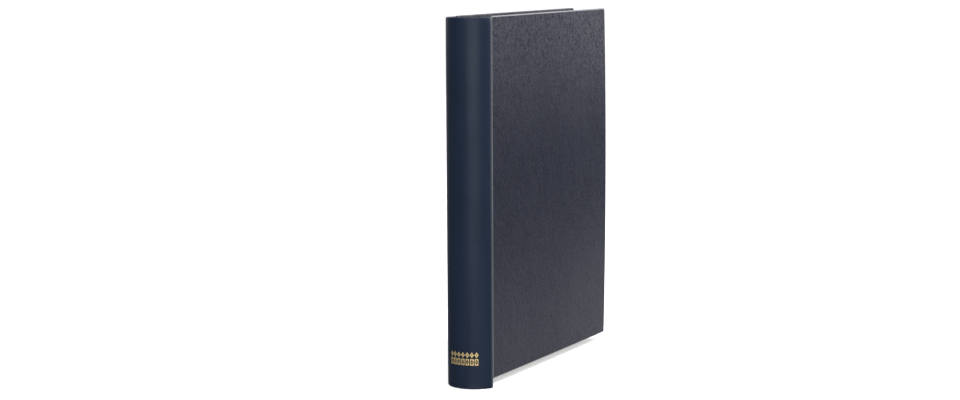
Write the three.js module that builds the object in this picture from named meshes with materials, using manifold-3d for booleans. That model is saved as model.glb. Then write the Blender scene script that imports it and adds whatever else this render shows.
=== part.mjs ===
// Springback stamp album, standing upright and closed. Millimetres.
//
// The spine shoulders (its widest line) lie at y = 0 while the pieces are made, with the
// rounded spine towards -Y, the fore edge towards +Y, the front cover at +X and the back
// cover at -X. The whole album is then moved so that its box is centred on the Z axis.
// The spine stands on z = 0.
import * as THREE from 'three';
import { mergeVertices } from 'three/addons/utils/BufferGeometryUtils.js';
import Module from 'manifold-3d';

const wasm = await Module();
wasm.setup();

// ---- Leaves -------------------------------------------------------------------------
const LEAF_HEIGHT = 292; // 11 1/2 in, head to tail
const LEAF_WIDTH = 248; // 9 3/4 in, binding edge to fore edge, guard included
const LEAF_COUNT = 22; // an even number, half of them turn with each cover
const LEAF_THICK = 0.6; // card leaf with its protective facing
const LEAF_PITCH = 1.2; // leaf to leaf, with room for what is mounted on it
const GUARD_REACH = 5; // how far the binding edge goes into the spine, past its shoulders
const BEND_START = 7.5; // y of the outermost leaves' bend line
const BEND_STEP = 1; // each leaf further in bends this much higher up
const HINGE_SLOT = 0.7; // bare linen on each side of a leaf's bend line

// ---- Covers -------------------------------------------------------------------------
const HEAD_SQUARE = 6.5; // cover beyond the leaves at head and tail
const FORE_SQUARE = 4; // cover beyond the leaves at the fore edge
const BOARD_THICK = 2; // binder's board
const CLOTH_THICK = 0.5; // leathercloth
const PAPER_THICK = 0.25; // pastedown endpaper
const TURN_IN = 15; // leathercloth folded over onto the inside of a board
const PASTE_MARGIN = 6; // leathercloth left showing round a pastedown
const GLUE_LINE = 0.05; // between layers that are stuck to each other
const STACK_GAP = 0.9; // outermost leaf to pastedown
const JOINT_WIDTH = 6; // bare cloth between the spine's lip and a board
const HINGE_OUT = 4; // from the lip to the line that a cover turns on

// ---- Spine --------------------------------------------------------------------------
const SPINE_RISE = 13.9; // shoulders to the crown of the rounded back
const LIP_WIDTH = 6.2; // shoulder to lip edge, across the album
const SPRING_THICK = 1; // rolled spring steel
const SPINE_CLOTH = 0.6; // leathercloth on the spine
const LINING_THICK = 0.4; // paper lining inside the spring
const INNER_CORNER = 0.3; // smallest radius left inside a shoulder
const FOOT_STEP = 6; // the spine runs below the boards
const HEAD_STEP = 0.5; // and stops just under their head
const SPINE_TURN_IN = 12; // leathercloth folded into the spine at head and tail
const LEVER_THICK = 1.2; // pressing strips between the lips and the leaves
const LEVER_GAP = 0.4; // leaves to pressing strip
const LIP_GAP = 0.3; // pressing strip to lip
const LEVER_REACH = 4; // pressing strip into the spine, past its shoulders
const LEVER_STAND = 2.2; // pressing strip out of the lips
const LEVER_INSET = 3; // pressing strip shorter than the boards at each end
const JOINT_THICK = 0.5; // cloth of a joint
const ARC_STEPS = 28; // facets across the rounded back
const CORNER_STEPS = 8; // facets round a shoulder

// ---- Worked out from the sizes above --------------------------------------------------
const stackHalf = ((LEAF_COUNT - 1) * LEAF_PITCH + LEAF_THICK) / 2;
const leverIn = stackHalf + LEVER_GAP;
const leverOut = leverIn + LEVER_THICK;
const lipTip = leverOut + LIP_GAP;
const spineHalf = lipTip + LIP_WIDTH;

const springOut = SPINE_CLOTH + GLUE_LINE; // depths below the spine's outer surface
const springIn = springOut + SPRING_THICK;
const liningOut = springIn + GLUE_LINE;
const shellDepth = liningOut + Math.max(SPINE_CLOTH, LINING_THICK);
const shoulderRadius = shellDepth + INNER_CORNER;

const pasteIn = stackHalf + STACK_GAP; // distances from the middle plane, going outwards
const pasteOut = pasteIn + PAPER_THICK;
const turnedIn = pasteOut + GLUE_LINE;
const boardIn = turnedIn + CLOTH_THICK + GLUE_LINE;
const boardOut = boardIn + BOARD_THICK;
const coverOut = boardOut + GLUE_LINE + CLOTH_THICK;

const lipFace = shoulderRadius;
const coverBack = lipFace + JOINT_WIDTH;
const leafFore = LEAF_WIDTH - GUARD_REACH;
const coverFore = leafFore + FORE_SQUARE;
const hingeY = lipFace + HINGE_OUT;

const coverTail = FOOT_STEP;
const coverHead = coverTail + LEAF_HEIGHT + 2 * HEAD_SQUARE;
const leafTail = coverTail + HEAD_SQUARE;
const leafHead = leafTail + LEAF_HEIGHT;
const spineHead = coverHead - HEAD_STEP;

// ---- Materials ------------------------------------------------------------------------
const finish = (color, roughness, metalness = 0) =>
  new THREE.MeshStandardMaterial({ color, roughness, metalness });
const spineLeather = finish(0x29333f, 0.45);
const coverLeather = finish(0x3c404b, 0.6);
const jointLeather = finish(0x252d38, 0.6);
const springSteel = finish(0x8d9196, 0.35, 1);
const pressedSteel = finish(0x70757a, 0.4, 1);
const greyBoard = finish(0x8f887b, 0.95);
const endPaper = finish(0xe6dfcc, 0.9);
const liningPaper = finish(0xb9a888, 0.95);
const guardCard = finish(0xd9cfb4, 0.95);
const leafCard = finish(0xf3eddc, 0.9);

// ---- Solids -----------------------------------------------------------------------------

/** A closed geometry as a solid that can be joined and cut. */
function solidOf(geometry) {
  const bare = geometry.clone();
  bare.deleteAttribute('normal');
  bare.deleteAttribute('uv');
  const merged = mergeVertices(bare);
  return new wasm.Manifold(new wasm.Mesh({
    numProp: 3,
    vertProperties: new Float32Array(merged.attributes.position.array),
    triVerts: new Uint32Array(merged.index.array),
  }));
}

/** A joined or cut solid as a geometry. */
function geometryOf(solid) {
  const mesh = solid.getMesh();
  const geometry = new THREE.BufferGeometry();
  geometry.setAttribute('position', new THREE.BufferAttribute(mesh.vertProperties, 3));
  geometry.setIndex(new THREE.BufferAttribute(mesh.triVerts, 1));
  geometry.computeVertexNormals();
  return geometry;
}

/** A box between two pairs of y and z, and from near to far of the middle plane on one side. */
function slab(side, [near, far], [y0, y1], [z0, z1]) {
  const box = new THREE.BoxGeometry(far - near, y1 - y0, z1 - z0);
  return box.translate(side * (near + far) / 2, (y0 + y1) / 2, (z0 + z1) / 2);
}

const album = new THREE.Group();

/** Adds one named sub-part. */
function addPart(name, geometry, material) {
  const mesh = new THREE.Mesh(geometry, material);
  mesh.name = name;
  album.add(mesh);
}

// ---- Spine: a rolled C with shoulders and two lips that press inwards --------------------

/** The circle of the rounded back, which meets both shoulders' circles without a corner. */
function backCircle() {
  const reach = spineHalf - shoulderRadius;
  const rise = SPINE_RISE - shoulderRadius;
  const centreY = (reach * reach - rise * rise) / (2 * rise);
  return { centreY, radius: centreY + SPINE_RISE, halfAngle: Math.atan2(reach, centreY) };
}

/** Points round an arc, with angles measured from -Y towards +X. */
function arcPoints(cx, cy, radius, from, to, steps) {
  return Array.from({ length: steps + 1 }, (_, i) => {
    const a = from + (to - from) * i / steps;
    return new THREE.Vector2(cx + radius * Math.sin(a), cy - radius * Math.cos(a));
  });
}

/** The spine's outline at one depth below its outer surface, from lip to lip. */
function spineLine(depth) {
  const { centreY, radius, halfAngle } = backCircle();
  const corner = shoulderRadius - depth;
  const cx = spineHalf - shoulderRadius;
  return [
    new THREE.Vector2(-lipTip, corner),
    ...arcPoints(-cx, 0, corner, -Math.PI, -halfAngle, CORNER_STEPS),
    ...arcPoints(0, centreY, radius - depth, -halfAngle, halfAngle, ARC_STEPS).slice(1, -1),
    ...arcPoints(cx, 0, corner, halfAngle, Math.PI, CORNER_STEPS),
    new THREE.Vector2(lipTip, corner),
  ];
}

/** The layer of the spine between two depths, and between two heights. */
function spineLayer(outer, inner, z0, z1) {
  const outline = [...spineLine(outer), ...spineLine(inner).reverse()];
  const shape = new THREE.Shape(outline);
  const geometry = new THREE.ExtrudeGeometry(shape, { depth: z1 - z0, bevelEnabled: false });
  return geometry.translate(0, 0, z0);
}

/** Leathercloth over the spring, folded over its two ends and down inside them. */
function spineCloth() {
  const foldedTo = liningOut + SPINE_CLOTH;
  const layers = [
    spineLayer(0, foldedTo, 0, SPINE_CLOTH),
    spineLayer(0, foldedTo, spineHead - SPINE_CLOTH, spineHead),
    spineLayer(liningOut, foldedTo, 0, SPINE_TURN_IN),
    spineLayer(liningOut, foldedTo, spineHead - SPINE_TURN_IN, spineHead),
  ];
  const outside = solidOf(spineLayer(0, SPINE_CLOTH, 0, spineHead));
  return geometryOf(layers.reduce((solid, layer) => solid.add(solidOf(layer)), outside));
}

function addSpine() {
  const springEnd = SPINE_CLOTH + GLUE_LINE;
  const liningEnd = SPINE_TURN_IN + GLUE_LINE;
  const spring = spineLayer(springOut, springIn, springEnd, spineHead - springEnd);
  const lining = spineLayer(
    liningOut, liningOut + LINING_THICK, liningEnd, spineHead - liningEnd);
  addPart('spine_cloth', spineCloth(), spineLeather);
  addPart('spine_spring', spring, springSteel);
  addPart('spine_lining', lining, liningPaper);
}

/** A pressing strip, which a lip of the spring holds against the leaves' guards. */
function addLever(name, side) {
  const heights = [coverTail + LEVER_INSET, coverHead - LEVER_INSET];
  const depths = [-LEVER_REACH, lipFace + LEVER_STAND];
  addPart(name, slab(side, [leverIn, leverOut], depths, heights), pressedSteel);
}

/** The cloth of a joint: from the face of the lip out to the line that the cover turns on. */
function addJoint(name, side) {
  const rootY = lipFace + GLUE_LINE;
  const endY = hingeY - GLUE_LINE;
  const inner = lipTip + GLUE_LINE;
  const outline = new THREE.Shape([
    new THREE.Vector2(side * inner, rootY),
    new THREE.Vector2(side * coverOut, rootY),
    new THREE.Vector2(side * coverOut, rootY + JOINT_THICK),
    new THREE.Vector2(side * (inner + 2 * JOINT_THICK), rootY + JOINT_THICK),
    new THREE.Vector2(side * coverOut, endY),
    new THREE.Vector2(side * (coverOut - JOINT_THICK), endY),
    new THREE.Vector2(side * inner, rootY + JOINT_THICK),
  ]);
  const geometry = new THREE.ExtrudeGeometry(
    outline, { depth: spineHead - coverTail, bevelEnabled: false });
  addPart(name, geometry.translate(0, 0, coverTail), jointLeather);
}

// ---- Covers: board, leathercloth turned in on three sides, pastedown --------------------

function addBoard(name, side) {
  const skin = CLOTH_THICK + GLUE_LINE;
  addPart(name, slab(side, [boardIn, boardOut], [coverBack, coverFore - skin],
    [coverTail + skin, coverHead - skin]), greyBoard);
}

function addBoardCloth(name, side) {
  const past = coverBack - 1; // past the hinge edge, which stays open
  const outside = slab(side, [turnedIn, coverOut], [coverBack, coverFore],
    [coverTail, coverHead]);
  const pocket = slab(side, [turnedIn + CLOTH_THICK, boardOut + GLUE_LINE],
    [past, coverFore - CLOTH_THICK], [coverTail + CLOTH_THICK, coverHead - CLOTH_THICK]);
  const window = slab(side, [turnedIn - CLOTH_THICK, boardIn],
    [past, coverFore - TURN_IN], [coverTail + TURN_IN, coverHead - TURN_IN]);
  const cloth = solidOf(outside).subtract(solidOf(pocket)).subtract(solidOf(window));
  addPart(name, geometryOf(cloth), coverLeather);
}

/** The endpaper, with the filling that brings the board level with the turned-in cloth. */
function addPastedown(name, side) {
  const inset = TURN_IN + GLUE_LINE;
  const paper = slab(side, [pasteIn, pasteOut],
    [coverBack, coverFore - PASTE_MARGIN],
    [coverTail + PASTE_MARGIN, coverHead - PASTE_MARGIN]);
  const filling = slab(side, [pasteIn, boardIn - GLUE_LINE],
    [coverBack, coverFore - inset], [coverTail + inset, coverHead - inset]);
  addPart(name, geometryOf(solidOf(paper).add(solidOf(filling))), endPaper);
}

// ---- Leaves: each is a card leaf and its guard, joined by a linen bend line ------------

/** How many leaves lie outside leaf i on its own side. */
const leavesOutside = (i) => Math.min(i, LEAF_COUNT - 1 - i);

function addLeaf(i) {
  const number = String(i + 1).padStart(2, '0');
  const middle = stackHalf - LEAF_THICK / 2 - i * LEAF_PITCH;
  const across = [middle - LEAF_THICK / 2, middle + LEAF_THICK / 2];
  const bendY = BEND_START + BEND_STEP * leavesOutside(i);
  const heights = [leafTail, leafHead];
  addPart(`guard_${number}`,
    slab(1, across, [-GUARD_REACH, bendY - HINGE_SLOT], heights), guardCard);
  addPart(`leaf_${number}`, slab(1, across, [bendY + HINGE_SLOT, leafFore], heights), leafCard);
}

// ---- The album ----------------------------------------------------------------------------
addSpine();
for (const [which, side] of [['front', 1], ['back', -1]]) {
  addLever(`${which}_lever`, side);
  addJoint(`${which}_joint`, side);
  addBoard(`${which}_board`, side);
  addBoardCloth(`${which}_board_cloth`, side);
  addPastedown(`${which}_pastedown`, side);
}
for (let i = 0; i < LEAF_COUNT; i += 1) addLeaf(i);
album.position.y = (SPINE_RISE - coverFore) / 2;

const model = new THREE.Group();
model.add(album);

export default model;
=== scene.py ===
"""The looks of a springback stamp album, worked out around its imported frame. Metres, +Z up."""

import math

import bmesh
import bpy
import numpy as np
from mathutils import Matrix, Vector


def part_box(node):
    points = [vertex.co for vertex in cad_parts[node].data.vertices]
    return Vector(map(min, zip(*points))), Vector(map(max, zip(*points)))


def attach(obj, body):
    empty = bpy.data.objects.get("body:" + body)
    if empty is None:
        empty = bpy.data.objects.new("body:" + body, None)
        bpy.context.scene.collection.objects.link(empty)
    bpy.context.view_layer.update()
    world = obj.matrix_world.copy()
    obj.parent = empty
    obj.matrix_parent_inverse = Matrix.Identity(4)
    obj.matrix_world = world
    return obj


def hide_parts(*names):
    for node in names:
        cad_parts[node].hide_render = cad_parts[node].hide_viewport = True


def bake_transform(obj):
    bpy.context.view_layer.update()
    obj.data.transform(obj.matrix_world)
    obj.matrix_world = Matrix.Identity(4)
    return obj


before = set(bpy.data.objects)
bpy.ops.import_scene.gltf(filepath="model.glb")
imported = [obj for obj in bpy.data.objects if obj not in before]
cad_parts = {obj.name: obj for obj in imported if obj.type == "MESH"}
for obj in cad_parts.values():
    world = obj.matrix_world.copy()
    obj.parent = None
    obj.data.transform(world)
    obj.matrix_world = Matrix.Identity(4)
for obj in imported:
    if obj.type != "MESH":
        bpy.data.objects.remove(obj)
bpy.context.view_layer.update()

# ---- Sizes ----------------------------------------------------------------------------
MM = 0.001
CLOTH = 0.5 * MM  # leathercloth on the boards
SPINE_CLOTH = 0.6 * MM  # leathercloth on the spine
SPINE_SHELL = 2.3 * MM  # cloth, spring and turned-in cloth together
SHOULDER = 2.6 * MM  # radius of the spine's shoulders
SPINE_TURN_IN = 12 * MM
TURN_IN = 15 * MM  # cloth turned over onto the inside of a board
BOARD_ROUND = 1.1 * MM  # rounding of a covered board's outer arris
BOARD_ROUND_IN = 0.8 * MM  # and of its inner arris
CORNER = 1.6 * MM  # radius of a covered board's corners
GLUE = 0.1 * MM  # between a board and its cloth
BOW = 1.7 * MM  # how far the fore edge bows outwards half way up
BELLY = 0.5 * MM  # how far the middle of a board bellies outwards
PAPER = 0.25 * MM  # endpaper
CARD = 0.42 * MM  # leaf
TISSUE = 0.08 * MM  # interleaving sheet
LINEN = 0.14 * MM
FOIL = 0.07 * MM


def box_of(node):
    """A CAD node's lowest and highest corners as two arrays."""
    low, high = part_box(node)
    return np.array(low), np.array(high)


spine_low, spine_high = box_of("spine_cloth")
cloth_low, cloth_high = box_of("front_board_cloth")
paste_low, paste_high = box_of("front_pastedown")
board_low, board_high = box_of("front_board")
lever_high = box_of("front_lever")[1]
joint_top = box_of("front_joint")[1][2]
leaf_low, leaf_high = box_of("leaf_01")

SPINE_TOP = spine_high[2]
SPINE_HALF = spine_high[0]
CROWN_Y = spine_low[1]
LIP_Y = spine_high[1]
SHOULDER_Y = LIP_Y - SHOULDER
LIP_TIP = lever_high[0] + 0.3 * MM
COVER_X = cloth_high[0]
HINGE_Y = cloth_low[1]  # the covers turn on this line
FORE_Y = cloth_high[1]
TAIL_Z, HEAD_Z = cloth_low[2], cloth_high[2]
LEAVES = sorted(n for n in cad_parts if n.startswith("leaf_"))


# ---- Meshes ---------------------------------------------------------------------------


def add_mesh(name, points, faces, material, smooth=True, rub_and_glint=None):
    """A piece from points (n, 3) and faces, doubles merged; the last argument marks wear and painted
    highlight.
    """
    mesh = bpy.data.meshes.new(name)
    mesh.from_pydata(points.tolist(), [], faces)
    if rub_and_glint is not None:
        mesh.attributes.new("rub_and_glint", "FLOAT", "POINT").data.foreach_set("value", rub_and_glint.ravel())
    work = bmesh.new()
    work.from_mesh(mesh)
    bmesh.ops.remove_doubles(work, verts=work.verts, dist=1e-6)
    bmesh.ops.dissolve_degenerate(work, edges=work.edges, dist=1e-7)
    work.to_mesh(mesh)
    work.free()
    mesh.polygons.foreach_set("use_smooth", np.full(len(mesh.polygons), smooth))
    mesh.materials.append(material)
    piece = bpy.data.objects.new(name, mesh)
    bpy.context.scene.collection.objects.link(piece)
    return piece


def grid_faces(rows, columns, close_rows=False, close_columns=False, flip=False, start=0):
    """The quads of a grid of rows by columns, closed on itself in either direction if asked."""
    r = np.arange(rows if close_rows else rows - 1)
    c = np.arange(columns if close_columns else columns - 1)
    r, c = (a.ravel() for a in np.meshgrid(r, c, indexing="ij"))
    r1, c1 = (r + 1) % rows, (c + 1) % columns
    quads = np.stack([r * columns + c, r * columns + c1, r1 * columns + c1, r1 * columns + c], 1)
    return ((quads[:, ::-1] if flip else quads) + start).tolist()


def thicken(piece, thickness, offset):
    """Gives a one-sided piece its thickness and keeps its wide faces flat in their shading.

    The surface stays the outer face at offset -1 and runs through the middle at 0.
    """
    solid = piece.modifiers.new("thickness", "SOLIDIFY")
    solid.thickness = thickness
    solid.offset = offset
    solid.use_even_offset = True
    flat = piece.modifiers.new("flat faces", "WEIGHTED_NORMAL")
    flat.keep_sharp = True
    return piece


def arc(centre, radius, start, end, count):
    """Points of an arc in a plane: centre + radius (cos a, sin a), a running from start to end."""
    a = np.linspace(start, end, count)
    return np.stack([centre[0] + radius * np.cos(a), centre[1] + radius * np.sin(a)], 1)


def smooth_step(t):
    """0 below 0, 1 above 1 and 3 t^2 - 2 t^3 between."""
    t = np.clip(t, 0, 1)
    return t * t * (3 - 2 * t)


# ---- Shader maths ---------------------------------------------------------------------


class Value:
    """A number that varies over a surface: each operator adds the Math node that works it out."""

    def __init__(self, graph, socket):
        self.graph, self.socket = graph, socket

    def math(self, operation, *others):
        """A Math node of this value and the others."""
        inputs = dict(enumerate((self, *others)))
        return self.graph.node("ShaderNodeMath", {"operation": operation}, inputs)

    def __add__(self, other):
        return self.math("ADD", other)

    __radd__ = __add__

    def __mul__(self, other):
        return self.math("MULTIPLY", other)

    __rmul__ = __mul__

    def __sub__(self, other):
        return self.math("SUBTRACT", other)

    def __rsub__(self, other):
        return self.graph.node("ShaderNodeMath", {"operation": "SUBTRACT"}, {0: other, 1: self})

    def __truediv__(self, other):
        return self.math("DIVIDE", other)

    def __lt__(self, other):
        return self.math("LESS_THAN", other)

    def __gt__(self, other):
        return self.math("GREATER_THAN", other)

    def __abs__(self):
        return self.math("ABSOLUTE")

    def between(self, low, high):
        """0 below low, 1 above high, smooth between."""
        settings = {"interpolation_type": "SMOOTHSTEP", "clamp": True}
        inputs = {"Value": self, "From Min": low, "From Max": high}
        return self.graph.node("ShaderNodeMapRange", settings, inputs)


class Graph:
    """The nodes of one material or of the surround."""

    def __init__(self, tree, place):
        self.tree = tree
        self.place = self.node("ShaderNodeTexCoord", {}, {}, place)

    def node(self, kind, settings, inputs, output=0):
        """Adds a node, sets it up, feeds its sockets with values or links, and gives an output."""
        node = self.tree.nodes.new(kind)
        for key, value in settings.items():
            setattr(node, key, value)
        for key, value in inputs.items():
            if isinstance(value, Value):
                self.tree.links.new(value.socket, node.inputs[key])
            else:
                node.inputs[key].default_value = value
        return Value(self, node.outputs[output])

    def axes(self):
        """The place as three numbers: x, y and z."""
        return [self.node("ShaderNodeSeparateXYZ", {}, {"Vector": self.place}, k) for k in range(3)]

    def blend(self, share, first, second):
        """A colour between two, by a share that varies."""
        colours = [c if isinstance(c, Value) else (*c, 1) for c in (first, second)]
        inputs = {0: share, 6: colours[0], 7: colours[1]}
        return self.node("ShaderNodeMix", {"data_type": "RGBA"}, inputs, 2)


class Finish(Graph):
    """One procedural material: a Principled shader and the nodes that feed it."""

    def __init__(self, name, **constants):
        self.material = bpy.data.materials.new(name)
        self.material.use_nodes = True
        super().__init__(self.material.node_tree, "Object")
        self.shader = next(n for n in self.tree.nodes if n.type == "BSDF_PRINCIPLED")
        for socket, value in constants.items():
            self.shader.inputs[socket.replace("_", " ")].default_value = value

    def feed(self, socket, value):
        """Links a value that varies to one of the shader's sockets."""
        self.tree.links.new(value.socket, self.shader.inputs[socket])

    def stretched(self, scale):
        """The place with each axis scaled."""
        inputs = {0: self.place, 1: scale}
        return self.node("ShaderNodeVectorMath", {"operation": "MULTIPLY"}, inputs)

    def noise(self, scale, detail, place=None, distortion=0.0):
        """Cloudy noise, about 0.5 on average; the scale is in lumps a metre."""
        inputs = {"Vector": place or self.place, "Scale": scale, "Detail": detail,
                  "Roughness": 0.55, "Distortion": distortion}
        return self.node("ShaderNodeTexNoise", {}, inputs)

    def flecks(self, scale):
        """How far a place is from the nearest of many scattered points."""
        inputs = {"Vector": self.place, "Scale": scale}
        return self.node("ShaderNodeTexVoronoi", {"feature": "F1"}, inputs)

    def pebbles(self, scale):
        """The same with rounded valleys between the points."""
        inputs = {"Vector": self.place, "Scale": scale, "Smoothness": 0.6}
        return self.node("ShaderNodeTexVoronoi", {"feature": "SMOOTH_F1"}, inputs)

    def bump(self, height, distance):
        """A normal tilted by a height, where a height of 1 stands for the distance."""
        return self.node("ShaderNodeBump", {}, {"Height": height, "Distance": distance})


# ---- Finishes -------------------------------------------------------------------------
PAINTED_SHEEN_ENDS = 140 * MM  # how far a board is painted lighter, as painted sheen, from its head and tail
PAINTED_SHEEN_FORE = 150 * MM  # and from its fore edge
PAINTED_SHEEN_TAIL_SHARE = 0.86  # the painted sheen reaches further up from the tail
PAINTED_SHEEN_HEAD_SHIFT = 12 * MM  # and is a little less at the head
PAINTED_GRAIN_GLINT_SPAN = (20 * MM, 210 * MM)  # painted highlight on the raised grain, from full to none, down from the head


def grained_leathercloth():
    """Navy leathercloth of the boards: fine pebbles over a soft crush; arrises worn, with painted
    highlight.

    Painted sheen makes it lighter towards head, tail and fore edge, most on the raised grain near
    the head.
    """
    f = Finish("grained_leathercloth", Specular_IOR_Level=0.2)
    _, y, z = f.axes()
    crush = f.noise(300, 4.0, distortion=1.2)
    pebbles = f.pebbles(620)
    pores = f.noise(3800, 2.0)
    clouds = f.noise(22, 3.0)
    patches = f.noise(45, 3.0).between(0.35, 0.65)
    height = crush * (0.8 + patches * 0.9) + pores * 0.15 - pebbles * (0.75 - patches * 0.5)
    # painted highlight: the arrises are paler, part wear and part the light their rounding would
    # catch
    rubbed_and_glint = f.node("ShaderNodeAttribute", {"attribute_name": "rub_and_glint"}, {}, 2) * (0.5 + crush * 0.8)
    # painted sheen: lighter towards head, tail and fore edge, and on raised grain near the head,
    # where light would fall
    from_tail = (z - TAIL_Z) * PAINTED_SHEEN_TAIL_SHARE
    from_head = HEAD_Z - z
    ends = 1 - from_tail.math("MINIMUM", from_head + PAINTED_SHEEN_HEAD_SHIFT).between(0.0, PAINTED_SHEEN_ENDS)
    fore = 1 - (FORE_Y - y).between(0.0, PAINTED_SHEEN_FORE)
    raised = (crush - pebbles * 0.3).between(0.18, 0.52) - 0.5
    headwards = 1 - from_head.between(*PAINTED_GRAIN_GLINT_SPAN)
    painted_sheen = ends * 0.52 + ends * fore * 0.24 + fore * 0.035
    painted_sheen = painted_sheen * (1 + raised * (0.25 + headwards * 1.15))
    tone = (crush * 0.6 + clouds * 0.2 - pebbles * 0.35).between(0.05, 0.30)
    cloth = f.blend(tone, (0.0045, 0.0065, 0.0165), (0.0125, 0.0150, 0.0320))
    # the painted sheen is laid into the base colour
    cloth = f.blend(painted_sheen, cloth, (0.070, 0.070, 0.087))
    f.feed("Base Color", f.blend(rubbed_and_glint, cloth, (0.32, 0.31, 0.335)))
    f.feed("Roughness", 0.50 + pebbles * 0.16 - clouds * 0.08 - rubbed_and_glint * 0.15)
    f.feed("Normal", f.bump(height, 0.29 * MM))
    return f.material


def smooth_leathercloth():
    """Satin navy leathercloth of the spine: faint streaks down its length, worn shoulders with
    painted highlight.
    """
    f = Finish("smooth_leathercloth", Specular_IOR_Level=0.28)
    x, _, z = f.axes()
    streaks = f.noise(120, 3.0, f.stretched((1, 1, 0.07)))
    skin = f.noise(900, 3.0)
    clouds = f.noise(30, 2.0)
    tone = (streaks * 0.6 + clouds * 0.4).between(0.35, 0.68)
    # painted highlight: the shoulders are paler, part wear and part the light their rounding would
    # catch
    shoulder_rub_and_glint = abs(x).between(SPINE_HALF - 0.7 * MM, SPINE_HALF - 0.1 * MM) * (0.5 + skin * 0.5)
    cloth = f.blend(tone, (0.0110, 0.0215, 0.0450), (0.0160, 0.0275, 0.0560))
    f.feed("Base Color", f.blend(shoulder_rub_and_glint, cloth, (0.086, 0.094, 0.117)))
    f.feed("Roughness", 0.42 + skin * 0.12 - clouds * 0.06 - shoulder_rub_and_glint * 0.15)
    f.feed("Normal", f.bump(streaks * 0.35 + skin * 0.2, 0.10 * MM))
    return f.material


def flexed_leathercloth():
    """Leathercloth of the joints: the boards' cloth, darker and creased along its bend."""
    f = Finish("flexed_leathercloth", Specular_IOR_Level=0.25)
    creases = f.noise(900, 4.0, f.stretched((1, 1, 0.12)))
    pebbles = f.pebbles(900)
    tone = creases.between(0.35, 0.7)
    f.feed("Base Color", f.blend(tone, (0.007, 0.011, 0.020), (0.016, 0.021, 0.033)))
    f.feed("Roughness", 0.5 + creases * 0.2)
    f.feed("Normal", f.bump(creases * 0.6 + pebbles * 0.4, 0.14 * MM))
    return f.material


def gilt_foil():
    """Stamped gold foil: bright, a little broken where it lies over the cloth."""
    f = Finish("gilt_foil", Metallic=0.6)
    speckle = f.noise(2600, 3.0)
    tone = speckle.between(0.36, 0.58)
    f.feed("Base Color", f.blend(tone, (0.80, 0.54, 0.20), (1.0, 0.80, 0.38)))
    f.feed("Roughness", 0.36 + speckle * 0.3)
    f.feed("Normal", f.bump(speckle, 0.03 * MM))
    return f.material


def rolled_steel(name, colour, along):
    """Bare strip steel with rolling lines along one axis and a few dull spots."""
    f = Finish(name, Metallic=1.0)
    lines = f.noise(500, 3.0, f.stretched(along))
    spots = f.noise(60, 4.0)
    dark = tuple(c * 0.62 for c in colour)
    f.feed("Base Color", f.blend((lines * 0.6 + spots * 0.4).between(0.38, 0.6), dark, colour))
    f.feed("Roughness", 0.26 + spots * 0.22)
    f.feed("Normal", f.bump(lines, 0.03 * MM))
    return f.material


def paper(name, light, dark):
    """Paper or card: long fibres over soft clouds."""
    f = Finish(name, Specular_IOR_Level=0.25)
    clouds = f.noise(35, 3.0)
    fibre = f.noise(1400, 4.0, f.stretched((1, 0.35, 1)))
    f.feed("Base Color", f.blend((clouds * 0.5 + fibre * 0.5).between(0.38, 0.64), dark, light))
    f.feed("Roughness", 0.86 + fibre * 0.1)
    f.feed("Normal", f.bump(fibre, 0.04 * MM))
    return f.material


def greyboard():
    """Pressed grey millboard: coarse fibre with dark flecks."""
    f = Finish("greyboard", Specular_IOR_Level=0.2)
    fibre = f.noise(700, 5.0)
    flecks = f.flecks(1500).between(0.05, 0.2)
    tone = f.blend(fibre.between(0.35, 0.65), (0.17, 0.15, 0.12), (0.33, 0.30, 0.25))
    f.feed("Base Color", f.blend(flecks, (0.06, 0.05, 0.045), tone))
    f.feed("Roughness", 0.85 + fibre * 0.1)
    f.feed("Normal", f.bump(fibre, 0.12 * MM))
    return f.material


THREAD_PITCH = 0.5 * MM


def linen():
    """Linen tape: a plain weave, as the product of two sines over the threads' pitch."""
    f = Finish("linen_tape", Specular_IOR_Level=0.2)
    _, y, z = f.axes()
    warp = (y * (math.tau / THREAD_PITCH)).math("SINE")
    weft = (z * (math.tau / THREAD_PITCH)).math("SINE")
    weave = warp * weft
    f.feed("Base Color", f.blend(weave.between(-1.0, 1.0), (0.55, 0.50, 0.40), (0.80, 0.76, 0.66)))
    f.feed("Roughness", 0.85 + weave * 0.05)
    f.feed("Normal", f.bump(weave, 0.05 * MM))
    return f.material


QUADRILLE = 5 * MM  # pitch of the printed squares
RULE = 0.22 * MM  # width of their lines
FRAME_RULE = 0.5 * MM
FRAME_FORE = 16 * MM  # printed frame to fore edge
FRAME_HEAD = 18 * MM  # printed frame to head and tail
FRAME_BIND = 34 * MM  # printed frame to the binding side
FRAME_GAP = 2.2 * MM  # between the two rules of the title leaf's frame


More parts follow.
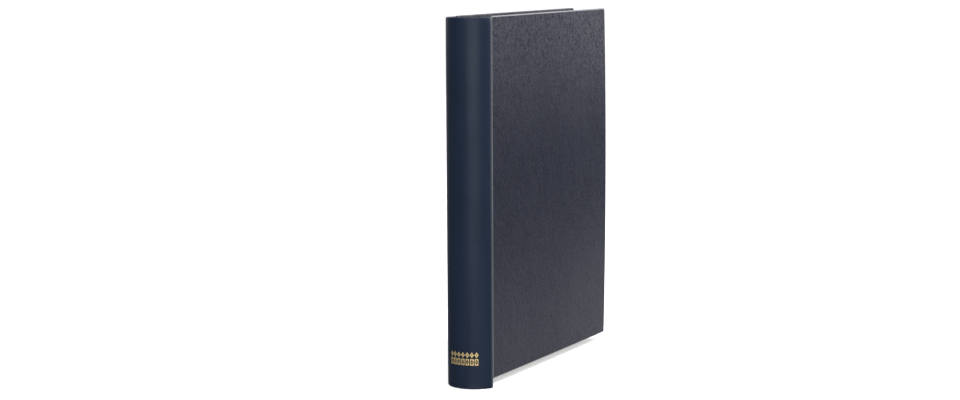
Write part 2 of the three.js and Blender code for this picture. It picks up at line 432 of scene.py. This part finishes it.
def printed_leaf(name, title=False):
    """Cream card leaf printed in grey: a quadrille inside a ruled frame, or a double frame alone."""
    f = Finish(name, Specular_IOR_Level=0.25)
    _, y, z = f.axes()
    middle_y = (leaf_low[1] + FRAME_BIND + leaf_high[1] - FRAME_FORE) / 2
    middle_z = (leaf_low[2] + leaf_high[2]) / 2
    half_y = (leaf_high[1] - FRAME_FORE - leaf_low[1] - FRAME_BIND) / 2
    half_z = (leaf_high[2] - leaf_low[2]) / 2 - FRAME_HEAD
    from_y, from_z = abs(y - middle_y), abs(z - middle_z)
    beyond = (from_y - half_y).math("MAXIMUM", from_z - half_z)
    ink = abs(beyond) < FRAME_RULE / 2
    if title:
        ink = ink.math("MAXIMUM", abs(beyond + FRAME_GAP) < RULE)
    else:
        lines = [abs((d / QUADRILLE).math("FRACT") - 0.5) > 0.5 - RULE / QUADRILLE / 2
                 for d in (from_y, from_z)]
        grid = lines[0].math("MAXIMUM", lines[1]) * (beyond < 0.0)
        ink = ink.math("MAXIMUM", grid * 0.55)
    clouds = f.noise(30, 3.0)
    fibre = f.noise(1500, 4.0, f.stretched((1, 0.4, 1)))
    sheet = f.blend((clouds * 0.5 + fibre * 0.5).between(0.38, 0.64),
                    (0.80, 0.75, 0.62), (0.88, 0.84, 0.72))
    f.feed("Base Color", f.blend(ink * 0.85, sheet, (0.30, 0.31, 0.33)))
    f.feed("Roughness", 0.82 + fibre * 0.1)
    f.feed("Normal", f.bump(fibre, 0.03 * MM))
    return f.material


def tissue():
    """Glazed interleaving tissue: pale and slightly mottled."""
    f = Finish("interleaving_tissue", Specular_IOR_Level=0.45)
    clouds = f.noise(90, 4.0)
    tone = clouds.between(0.35, 0.65)
    f.feed("Base Color", f.blend(tone, (0.82, 0.82, 0.78), (0.92, 0.92, 0.88)))
    f.feed("Roughness", 0.35 + clouds * 0.15)
    f.feed("Normal", f.bump(clouds, 0.05 * MM))
    return f.material


# ---- Spine ----------------------------------------------------------------------------


def spine_outline():
    """The spine's outer outline, lip to lip, with its outward normals and the length along it.

    Straight lips, two shoulder arcs, and the one circle that meets both arcs without a corner:
    with reach and rise from the shoulders' centres, its centre is (reach^2 - rise^2) / (2 rise)
    beyond them.
    """
    reach = SPINE_HALF - SHOULDER
    rise = SHOULDER_Y - CROWN_Y - SHOULDER
    beyond = (reach**2 - rise**2) / (2 * rise)
    radius = beyond + SHOULDER_Y - CROWN_Y
    half_angle = math.atan2(reach, beyond)

    def bend(cx, cy, r, start, end, count):
        a = np.linspace(start, end, count)
        normal = np.stack([np.sin(a), -np.cos(a)], 1)
        return np.array([cx, cy]) + r * normal, normal

    lip_x = np.linspace(-LIP_TIP, -reach, 6)[:-1]
    lip = np.stack([lip_x, np.full_like(lip_x, LIP_Y)], 1)
    lip_normal = np.tile([0.0, 1.0], (len(lip), 1))
    left = bend(-reach, SHOULDER_Y, SHOULDER, -math.pi, -half_angle, 15)
    back = bend(0, SHOULDER_Y + beyond, radius, -half_angle, half_angle, 65)
    right = bend(reach, SHOULDER_Y, SHOULDER, half_angle, math.pi, 15)
    flip = np.array([-1.0, 1.0])
    points = np.concatenate([lip, left[0], back[0][1:-1], right[0], lip[::-1] * flip])
    normals = np.concatenate([lip_normal, left[1], back[1][1:-1], right[1], lip_normal])
    steps = np.linalg.norm(np.diff(points, axis=0), axis=1)
    length = np.concatenate([[0], np.cumsum(steps)])
    return points, normals, length - length[-1] / 2


def spine_wall_loop():
    """The wall's closed section as (depth, height) pairs.

    Up the outside, over the head in a half circle, down the turned-in cloth, back up behind it,
    under the head, down the cloth's inner face, and the same at the tail.
    """
    mid, outer, inner = SPINE_SHELL / 2, SPINE_SHELL / 2, SPINE_SHELL / 2 - SPINE_CLOTH
    top, bottom = SPINE_TOP - outer, outer
    rise = np.linspace(bottom, top, 64)
    up = np.stack([np.zeros_like(rise), rise], 1)
    fold = np.linspace(top, SPINE_TOP - SPINE_TURN_IN, 8)[1:]
    turn = np.stack([np.full_like(fold, SPINE_SHELL), fold], 1)
    behind = np.stack([np.full_like(fold, SPINE_SHELL - SPINE_CLOTH), fold[::-1]], 1)
    over = arc((mid, top), outer, math.pi, 0, 13)[1:]
    under = arc((mid, top), inner, 0, math.pi, 9)
    half = np.concatenate([over, turn, behind, under])
    tail = half[::-1].copy()
    tail[:, 1] = SPINE_TOP - tail[:, 1]
    return np.concatenate([up, half, tail])


def on_spine(along, height, lift, outline):
    """Points on the spine's outside: along it from the crown, up it, and lifted off it."""
    points, normals, length = outline
    x, y = (np.interp(along, length, points[:, k]) for k in (0, 1))
    nx, ny = (np.interp(along, length, normals[:, k]) for k in (0, 1))
    scale = lift / np.hypot(nx, ny)
    return np.stack([x + nx * scale, y + ny * scale, height], -1)


def spine_leather(material):
    """Cloth round the spine: the wall's section carried along the outline, inwards by its depth.

    The outside waves by a few hundredths of a millimetre, as cloth laid on by hand does.
    """
    points, normals, length = spine_outline()
    loop = spine_wall_loop()
    depth, height = loop[:, 0], loop[:, 1]
    wave = 0.05 * MM * (np.sin(length[:, None] * 210 + 3 * np.sin(height * 19))
                        + np.sin(height * 47 + length[:, None] * 90))
    depth = depth + wave * (depth < 0.01 * MM)
    xy = points[:, None] - normals[:, None] * depth[..., None]
    grid = np.concatenate([xy, np.broadcast_to(height, depth.shape)[..., None]], -1)
    rows, columns = depth.shape
    faces = grid_faces(rows, columns, close_columns=True)
    faces.append(list(range(columns)))
    faces.append([(rows - 1) * columns + c for c in reversed(range(columns))])
    piece = add_mesh("spine_leather", grid.reshape(-1, 3), faces, material)
    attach(piece, "spine")
    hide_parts("spine_cloth")


# ---- Gilt device ----------------------------------------------------------------------
DEVICE_LOWER = 23.2 * MM  # middle of the lower row above the spine's foot
DEVICE_UPPER = 29.2 * MM
DEVICE_PITCH = 3.95 * MM
DOT_CORE = 0.02 * MM  # a dot is a ring whose hole is too small to see
DOT = 0.42 * MM


def lozenge(half_width, half_height):
    """A lozenge's outline as a distance for each direction: 1 / (|cos|/w + |sin|/h)."""
    return lambda a: 1 / (np.abs(np.cos(a)) / half_width + np.abs(np.sin(a)) / half_height)


def perforated(half_width, half_height, teeth=20, bite=0.09):
    """A stamp's outline as a distance for each direction: a rectangle with a rippled edge."""
    def reach(a):
        flat = np.minimum(half_width / np.maximum(np.abs(np.cos(a)), 1e-6),
                          half_height / np.maximum(np.abs(np.sin(a)), 1e-6))
        return flat * (1 - bite / 2 + bite / 2 * np.cos(teeth * a))
    return reach


def disc(radius):
    """A circle's outline: the same distance for each direction."""
    return lambda a: np.full_like(a, radius)


def foil_motif(centre, inner, outer, outline, count=80):
    """A thin ring of foil between two outlines round a centre, laid on the spine."""
    a = np.linspace(0, math.tau, count, endpoint=False)[:, None]
    share = np.array([0, 0, 0.5, 1, 1, 0.5])
    lift = np.array([-0.5, 1, 1, 1, -0.5, -0.5]) * FOIL
    reach = inner(a) * (1 - share) + outer(a) * share
    along = centre[0] + reach * np.cos(a)
    height = centre[1] + reach * np.sin(a)
    grid = on_spine(along, height, np.broadcast_to(lift, along.shape), outline)
    return grid.reshape(-1, 3), count, len(share)


def gilt_device(material):
    """Two rows of foil: small lozenges with a dot between them, over perforated stamps."""
    outline = spine_outline()
    motifs = []
    for k in range(-3, 4):
        a = k * DEVICE_PITCH
        stamp = perforated(1.6 * MM, 2.9 * MM)
        motifs.append(foil_motif((a, DEVICE_LOWER), lozenge(1.25 * MM, 2.40 * MM), stamp, outline))
        motifs.append(foil_motif((a, DEVICE_LOWER), disc(DOT_CORE), disc(DOT), outline))
        motifs.append(foil_motif((a, DEVICE_UPPER), lozenge(0.45 * MM, 0.8 * MM),
                                 lozenge(1.6 * MM, 2.5 * MM), outline))
        if k < 3:
            between = (a + DEVICE_PITCH / 2, DEVICE_UPPER)
            motifs.append(foil_motif(between, disc(DOT_CORE), disc(DOT), outline))
    points, faces, start = [], [], 0
    for grid, rows, columns in motifs:
        faces += grid_faces(rows, columns, close_rows=True, close_columns=True, flip=True,
                            start=start)
        points.append(grid)
        start += len(grid)
    piece = add_mesh("gilt_device", np.concatenate(points), faces, material, smooth=False)
    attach(piece, "spine")


# ---- Covers ---------------------------------------------------------------------------


def bowed(y, z):
    """How far a board stands out at a place.

    The bow is a parabola over the height that grows from the joint to the fore edge, and the
    belly a parabola over the depth.
    """
    up = (z - (TAIL_Z + HEAD_Z) / 2) / ((HEAD_Z - TAIL_Z) / 2)
    out = np.clip((y - HINGE_Y) / (FORE_Y - HINGE_Y), 0, 1)
    return BOW * (1 - up**2) * smooth_step(out) + BELLY * 4 * out * (1 - out)


def sided(points, side):
    """Points of the front half, mirrored for the back one."""
    return points * np.array([side, 1.0, 1.0])


def arris_section():
    """The wrapped border's section as (inset from the edge, x) pairs, from outside to inside.

    With it comes how pale each point is, part wear and part painted highlight; this follows sin(2 a)
    over an arris's quarter turn a: to the power 0.6 on the outer arris, and 0.4 of it on the inner
    one.
    """
    inner, outer = cloth_low[0], COVER_X
    face = np.stack([np.linspace(TURN_IN, BOARD_ROUND, 7), np.full(7, outer)], 1)
    edge = arc((BOARD_ROUND, outer - BOARD_ROUND), BOARD_ROUND, math.pi / 2, math.pi, 10)[1:]
    fold = arc((BOARD_ROUND_IN, inner + BOARD_ROUND_IN), BOARD_ROUND_IN, math.pi, 1.5 * math.pi, 7)
    inside = np.stack([np.linspace(BOARD_ROUND_IN, TURN_IN, 7)[1:], np.full(6, inner)], 1)
    outer_rub_and_glint = np.sin(np.linspace(0, math.pi, 10)[1:]) ** 0.6
    inner_rub_and_glint = 0.4 * np.sin(np.linspace(0, math.pi, 7))
    rub_and_glint = np.concatenate([np.zeros(7), np.maximum(outer_rub_and_glint, 0), inner_rub_and_glint, np.zeros(6)])
    return np.concatenate([face, edge, fold, inside]), rub_and_glint


def border_path(inset, count_y, count_z, count_corner):
    """A board's border at one inset: a rectangle with round corners, anticlockwise from its tail.

    The corners' radius shrinks by the inset, down to none.
    """
    r = max(CORNER - inset, 0)
    y0, y1 = HINGE_Y + inset + r, FORE_Y - inset - r
    z0, z1 = TAIL_Z + inset + r, HEAD_Z - inset - r
    along, up = np.linspace(y0, y1, count_y), np.linspace(z0, z1, count_z)
    quarter = math.pi / 2
    sides = [(along, np.full_like(along, z0 - r)), (np.full_like(up, y1 + r), up),
             (along[::-1], np.full_like(along, z1 + r)), (np.full_like(up, y0 - r), up[::-1])]
    corners = [(y1, z0), (y1, z1), (y0, z1), (y0, z0)]
    pieces = []
    for k, (side, corner) in enumerate(zip(sides, corners)):
        pieces.append(np.stack(side, 1))
        pieces.append(arc(corner, r, (k - 1) * quarter, k * quarter, count_corner)[1:-1])
    return np.concatenate(pieces)


def board_leather(which, side, material):
    """Cloth over a board: a face, and a border that wraps round its edges and onto the inside."""
    count_y, count_z = 40, 48
    section, section_rub_and_glint = arris_section()
    border = np.stack([border_path(inset, count_y, count_z, 6) for inset, _ in section], 1)
    x = np.broadcast_to(section[:, 1], border.shape[:2])
    ring = np.concatenate([x[..., None], border], -1)
    inner_y = np.linspace(HINGE_Y + TURN_IN, FORE_Y - TURN_IN, count_y)
    inner_z = np.linspace(TAIL_Z + TURN_IN, HEAD_Z - TURN_IN, count_z)
    y, z = np.meshgrid(inner_y, inner_z, indexing="ij")
    face = np.stack([np.full_like(y, COVER_X), y, z], -1)
    points = np.concatenate([ring.reshape(-1, 3), face.reshape(-1, 3)])
    points[:, 0] += bowed(points[:, 1], points[:, 2])
    rows, columns = ring.shape[:2]
    # how pale each point of the arrises is: part wear, part painted highlight
    rub_and_glint = np.concatenate([np.tile(section_rub_and_glint, rows), np.zeros(face.size // 3)])
    faces = grid_faces(rows, columns, close_rows=True, flip=side < 0)
    faces += grid_faces(count_y, count_z, flip=side > 0, start=rows * columns)
    piece = add_mesh(f"{which}_cover_leather", sided(points, side), faces, material, rub_and_glint=rub_and_glint)
    thicken(piece, CLOTH, -1.0)
    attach(piece, f"{which}_cover")
    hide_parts(f"{which}_board_cloth")


def plate(name, x_of, y, z, side, thickness, material):
    """A thin plate whose middle surface stands at x_of(y, z)."""
    grid_y, grid_z = np.meshgrid(y, z, indexing="ij")
    points = np.stack([x_of(grid_y, grid_z), grid_y, grid_z], -1).reshape(-1, 3)
    faces = grid_faces(len(y), len(z), flip=side < 0)
    piece = add_mesh(name, sided(points, side), faces, material)
    return thicken(piece, thickness, 0.0)


def board_core(which, side, material):
    """The binder's board inside the cloth, bowed with it."""
    middle = (board_low[0] + board_high[0]) / 2
    thickness = board_high[0] - board_low[0] - GLUE
    inset = CLOTH + GLUE
    piece = plate(f"{which}_board_core", lambda y, z: middle + bowed(y, z),
                  np.linspace(HINGE_Y + inset, FORE_Y - inset, 40),
                  np.linspace(TAIL_Z + inset, HEAD_Z - inset, 40),
                  side, thickness, material)
    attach(piece, f"{which}_cover")
    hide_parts(f"{which}_board")


ENDPAPER_STEP = 0.18 * MM
STEP_RUN = 2 * MM  # the endpaper eases down its step over this far
# Rows of points near the endpaper's edge, closer together where it steps, and where the rest start
EDGE_ROWS = np.array([0, 2, 4, 6, 8, 8.5, 9.2, 10, 11, 13, 16, 22]) * MM
INNER_ROWS = 26 * MM


def pastedown(which, side, material):
    """Endpaper pasted inside a board: it steps down past the turned-in cloth's edge."""
    surface = paste_low[0] + PAPER / 2

    def stands_at(y, z):
        to_edge = np.minimum(FORE_Y - y, np.minimum(z - TAIL_Z, HEAD_Z - z))
        down = smooth_step((to_edge - TURN_IN) / STEP_RUN)
        return surface + ENDPAPER_STEP * down + bowed(y, z)

    y1, z0, z1 = paste_high[1], paste_low[2], paste_high[2]
    y = np.concatenate([np.linspace(HINGE_Y, y1 - INNER_ROWS, 26), y1 - EDGE_ROWS[::-1]])
    z = np.concatenate([z0 + EDGE_ROWS, np.linspace(z0 + INNER_ROWS, z1 - INNER_ROWS, 30),
                        z1 - EDGE_ROWS[::-1]])
    piece = plate(f"{which}_endpaper", stands_at, y, z, side, PAPER, material)
    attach(piece, f"{which}_cover")
    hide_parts(f"{which}_pastedown")


# ---- Joints ---------------------------------------------------------------------------


def strip(name, path, z0, z1, side, thickness, material):
    """A strip of cloth: a path in plan carried up from z0 to z1, half its thickness to each side."""
    z = np.linspace(z0, z1, 40)
    count = len(path)
    points = np.stack([np.repeat(path[:, 0], len(z)), np.repeat(path[:, 1], len(z)),
                       np.tile(z, count)], 1)
    faces = grid_faces(count, len(z), flip=side < 0)
    piece = add_mesh(name, sided(points, side), faces, material)
    return thicken(piece, thickness, 0.0)


def smooth_path(knots, count):
    """A curve through a few knots: a cubic Hermite spline whose slopes are central differences."""
    knots = np.array(knots, float)
    slope = np.gradient(knots, axis=0)
    t = np.linspace(0, len(knots) - 1, count)
    k = np.minimum(t.astype(int), len(knots) - 2)
    u = (t - k)[:, None]
    return ((2 * u**3 - 3 * u**2 + 1) * knots[k] + (u**3 - 2 * u**2 + u) * slope[k]
            + (3 * u**2 - 2 * u**3) * knots[k + 1] + (u**3 - u**2) * slope[k + 1])


def joint_cloth(which, side, material):
    """Outer joint: the cloth leaves the lip, dips into the groove and rises onto the board.

    Its path goes through six points that keep it clear of the lip and of the board's edge.
    """
    x0 = LIP_TIP + 1.2 * MM
    knots = [(x0, LIP_Y + 0.30 * MM), (x0 + 0.5 * MM, LIP_Y + 0.45 * MM),
             (x0 + 1.1 * MM, LIP_Y + 1.5 * MM), (x0 + 1.0 * MM, LIP_Y + 3.0 * MM),
             (COVER_X - 0.55 * MM, LIP_Y + 4.6 * MM), (COVER_X - 0.30 * MM, HINGE_Y + 0.1 * MM)]
    path = smooth_path(knots, 26)
    piece = strip(f"{which}_joint_cloth", path, TAIL_Z, joint_top, side, CLOTH, material)
    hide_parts(f"{which}_joint")
    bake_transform(piece)


def joint_lining(which, side, material):
    """Inner joint: a linen lining folded into the groove, from the pressing strip to the board.

    Its middle lies close to the line that the cover turns on, so an open cover doesn't push it
    into the leaves.
    """
    knots = [(lever_high[0] + 0.12 * MM, lever_high[1] - 2.2 * MM),
             (lever_high[0] + 0.15 * MM, lever_high[1] - 0.4 * MM),
             (lever_high[0] + 1.0 * MM, lever_high[1] + 0.5 * MM),
             (COVER_X - 0.8 * MM, lever_high[1] + 1.6 * MM),
             (paste_high[0] + 0.7 * MM, HINGE_Y - 0.5 * MM),
             (paste_low[0] + 0.1 * MM, HINGE_Y - 0.25 * MM),
             (paste_low[0] - 0.14 * MM, HINGE_Y + 0.6 * MM),
             (paste_low[0] - 0.14 * MM, HINGE_Y + 9 * MM)]
    path = smooth_path(knots, 40)
    name = f"{which}_joint_lining"
    piece = strip(name, path, paste_low[2], paste_high[2], side, LINEN, material)
    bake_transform(piece)


# ---- Leaves ---------------------------------------------------------------------------
TAPE_ON_GUARD = 6 * MM  # how far a linen strip is glued onto its guard
TAPE_ON_LEAF = 8 * MM  # and onto its leaf
TISSUE_OFF = 0.47 * MM  # from the middle of a leaf to the middle of its interleaving sheet
WAVE = 0.11 * MM  # height of each of a leaf's two ripples


def leaf_body(leaf):
    """The body that a leaf rides on."""
    return leaf + "_turn"


def waviness(number):
    """How a leaf waves: two slow sine ripples whose phases step on from leaf to leaf."""
    phase = number * 0.9

    def wave(y, z):
        away = smooth_step((y - leaf_low[1]) / (60 * MM))
        ripples = np.sin(z * 26 + phase) + np.sin(y * 31 - z * 9 + phase * 1.7)
        return WAVE * away * ripples

    return wave


def add_leaf(leaf, number, material, linen_material, tissue_material):
    """One card leaf with its linen bend strip and the tissue that lies behind it."""
    low, high = box_of(leaf)
    guard_end = box_of(leaf.replace("leaf", "guard"))[1][1]
    middle = (low[0] + high[0]) / 2
    wave = waviness(number)
    y = np.linspace(low[1], high[1], 22)
    z = np.linspace(low[2], high[2], 26)
    card = plate(f"{leaf}_card", lambda a, b: middle + wave(a, b), y, z, 1, CARD, material)
    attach(card, leaf_body(leaf))
    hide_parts(leaf)

    out = 1 if middle > 0 else -1
    face = middle + out * (CARD / 2 + LINEN / 2)
    bend = np.linspace(guard_end - 0.6 * MM, low[1] + 0.6 * MM, 9)
    glued = [low[1] + TAPE_ON_LEAF / 2, low[1] + TAPE_ON_LEAF]
    tape_y = np.concatenate([[guard_end - TAPE_ON_GUARD], bend, glued])
    tape = plate(f"{leaf}_linen", lambda a, b: face + wave(a, b), tape_y, z, 1, LINEN,
                 linen_material)
    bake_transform(tape)

    behind = middle - out * TISSUE_OFF
    sheet_y = np.linspace(low[1] + TAPE_ON_LEAF + 1 * MM, high[1] - 1 * MM, 16)
    sheet_z = np.linspace(low[2] + 1 * MM, high[2] - 1 * MM, 20)
    sheet = plate(f"{leaf}_tissue", lambda a, b: behind + wave(a, b), sheet_y, sheet_z, 1, TISSUE,
                  tissue_material)
    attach(sheet, leaf_body(leaf))


# ---- Stage ----------------------------------------------------------------------------
VIEW_AZIMUTH = math.radians(26.48)
VIEW_PITCH = math.radians(6.93)
VIEW_ROLL = math.radians(-0.286)
VIEW_DISTANCE = 1.7125  # from the spine's shoulders
VIEW_ASIDE = 0.0088
VIEW_HEIGHT = 0.3662
LENS = 77.5  # millimetres, as is the sensor
SENSOR = 36.0
FLOOR_HALF = 60.0
ALBUM_MIDDLE = (0, 0, 0.15)
ALBUM_HEAD = (0, 0, 0.30)


def add_camera():
    """A camera in front of the spine and to its right, above the album and looking a little down."""
    sin_a, cos_a = math.sin(VIEW_AZIMUTH), math.cos(VIEW_AZIMUTH)
    right = np.array([cos_a, sin_a, 0])
    level = math.cos(VIEW_PITCH)
    back = np.array([sin_a * level, -cos_a * level, math.sin(VIEW_PITCH)])
    up = np.cross(back, right)
    turn, lean = math.cos(VIEW_ROLL), math.sin(VIEW_ROLL)
    rolled_right, rolled_up = turn * right + lean * up, turn * up - lean * right
    place = np.array([sin_a * VIEW_DISTANCE + cos_a * VIEW_ASIDE,
                      SHOULDER_Y - cos_a * VIEW_DISTANCE + sin_a * VIEW_ASIDE, VIEW_HEIGHT])
    camera = bpy.data.objects.new("camera", bpy.data.cameras.new("camera"))
    camera.data.lens, camera.data.sensor_width = LENS, SENSOR
    turned = Matrix(np.stack([rolled_right, rolled_up, back], 1).tolist())
    camera.matrix_world = Matrix.Translation(place.tolist()) @ turned.to_4x4()
    bpy.context.scene.collection.objects.link(camera)
    bpy.context.scene.camera = camera


def add_light(name, place, aim, size, watts):
    """A soft rectangular light that points from its place at its aim."""
    data = bpy.data.lights.new(name, "AREA")
    data.shape, data.size, data.size_y = "RECTANGLE", *size
    data.energy = watts
    light = bpy.data.objects.new(name, data)
    back = Vector(place) - Vector(aim)
    turned = back.to_track_quat("Z", "Y").to_matrix().to_4x4()
    light.matrix_world = Matrix.Translation(place) @ turned
    bpy.context.scene.collection.objects.link(light)


def add_surround():
    """Light from all round: strong from behind, even from below and dim from the other sides."""
    world = bpy.data.worlds.new("surround")
    world.use_nodes = True
    bpy.context.scene.world = world
    graph = Graph(world.node_tree, "Generated")
    x, y, z = graph.axes()
    everywhere = 0.03
    behind = (y * 0.97 - x * 0.25).between(0.6, 1.0)
    right = (x * 0.9 - y * 0.45).between(-0.1, 1.0)
    above = z.between(0.1, 0.9)
    below = (z * -1).between(0.5, 0.95)
    left = (x * -0.85 - y * 0.5).between(0.3, 1.0)
    strength = everywhere + behind * 1.15 + right * 0.17 + left * 0.11 + above * 0.16 + below * 0.6
    background = world.node_tree.nodes["Background"]
    background.inputs["Color"].default_value = (0.94, 0.96, 1.0, 1)
    world.node_tree.links.new(strength.socket, background.inputs["Strength"])


def add_stage():
    """A wide pale floor, the surround, four soft lights and a wide soft one overhead.

    The floor gives the album no light: what comes up from it comes from the surround.
    """
    corners = np.array([(-1, -1, 0), (1, -1, 0), (1, 1, 0), (-1, 1, 0)]) * FLOOR_HALF
    floor = add_mesh("floor", corners, [[0, 1, 2, 3]], pale_floor(), False)
    floor.visible_glossy = floor.visible_diffuse = False
    add_surround()
    add_light("key", (0.85, -2.0, 0.8), ALBUM_MIDDLE, (1.6, 1.1), 28)
    add_light("side", (1.6, 0.7, 0.8), ALBUM_MIDDLE, (1.0, 1.0), 7)
    add_light("fill", (-1.5, 0.9, 0.9), ALBUM_MIDDLE, (1.2, 1.2), 8)
    add_light("top", (0.55, 0.45, 0.95), ALBUM_HEAD, (0.5, 0.5), 10)
    overhead = bpy.data.objects.new("overhead", bpy.data.lights.new("overhead", "SUN"))
    overhead.data.energy = 1.5
    overhead.data.angle = math.radians(70)
    bpy.context.scene.collection.objects.link(overhead)
    bpy.context.scene.view_settings.view_transform = "Standard"


def pale_floor():
    """Matt white studio floor."""
    f = Finish("pale_floor", Specular_IOR_Level=0.1, Emission_Color=(1, 1, 1, 1),
               Emission_Strength=0.45)
    clouds = f.noise(3, 2.0)
    f.feed("Base Color", f.blend(clouds, (0.86, 0.86, 0.86), (0.89, 0.89, 0.89)))
    f.feed("Roughness", 0.9 + clouds * 0.05)
    return f.material


# ---- The album ------------------------------------------------------------------------


def dress(prefix, material):
    """Gives the CAD nodes whose names start with a prefix their finish."""
    for name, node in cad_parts.items():
        if name.startswith(prefix):
            node.data.materials.clear()
            node.data.materials.append(material)


def build_album():
    """Makes every piece, and gives the CAD nodes that stay visible their finishes."""
    grained, smooth = grained_leathercloth(), smooth_leathercloth()
    flexed, linen_tape = flexed_leathercloth(), linen()
    spine_leather(smooth)
    gilt_device(gilt_foil())
    board = greyboard()
    endpaper = paper("endpaper", (0.83, 0.78, 0.65), (0.72, 0.66, 0.52))
    for which, side in (("front", 1), ("back", -1)):
        board_leather(which, side, grained)
        board_core(which, side, board)
        pastedown(which, side, endpaper)
        joint_cloth(which, side, flexed)
        joint_lining(which, side, linen_tape)
    ruled, title = printed_leaf("ruled_leaf"), printed_leaf("title_leaf", title=True)
    glassine = tissue()
    for number, leaf in enumerate(LEAVES):
        add_leaf(leaf, number, ruled if number else title, linen_tape, glassine)
    dress("guard_", paper("guard_card", (0.66, 0.58, 0.40), (0.52, 0.44, 0.29)))
    dress("spine_lining", paper("kraft_lining", (0.42, 0.31, 0.18), (0.30, 0.21, 0.11)))
    dress("spine_spring", rolled_steel("spring_steel", (0.52, 0.53, 0.55), (1, 1, 0.03)))
    lever_steel = rolled_steel("lever_steel", (0.42, 0.43, 0.45), (1, 1, 0.05))
    dress("front_lever", lever_steel)
    dress("back_lever", lever_steel)


add_camera()
build_album()
add_stage()
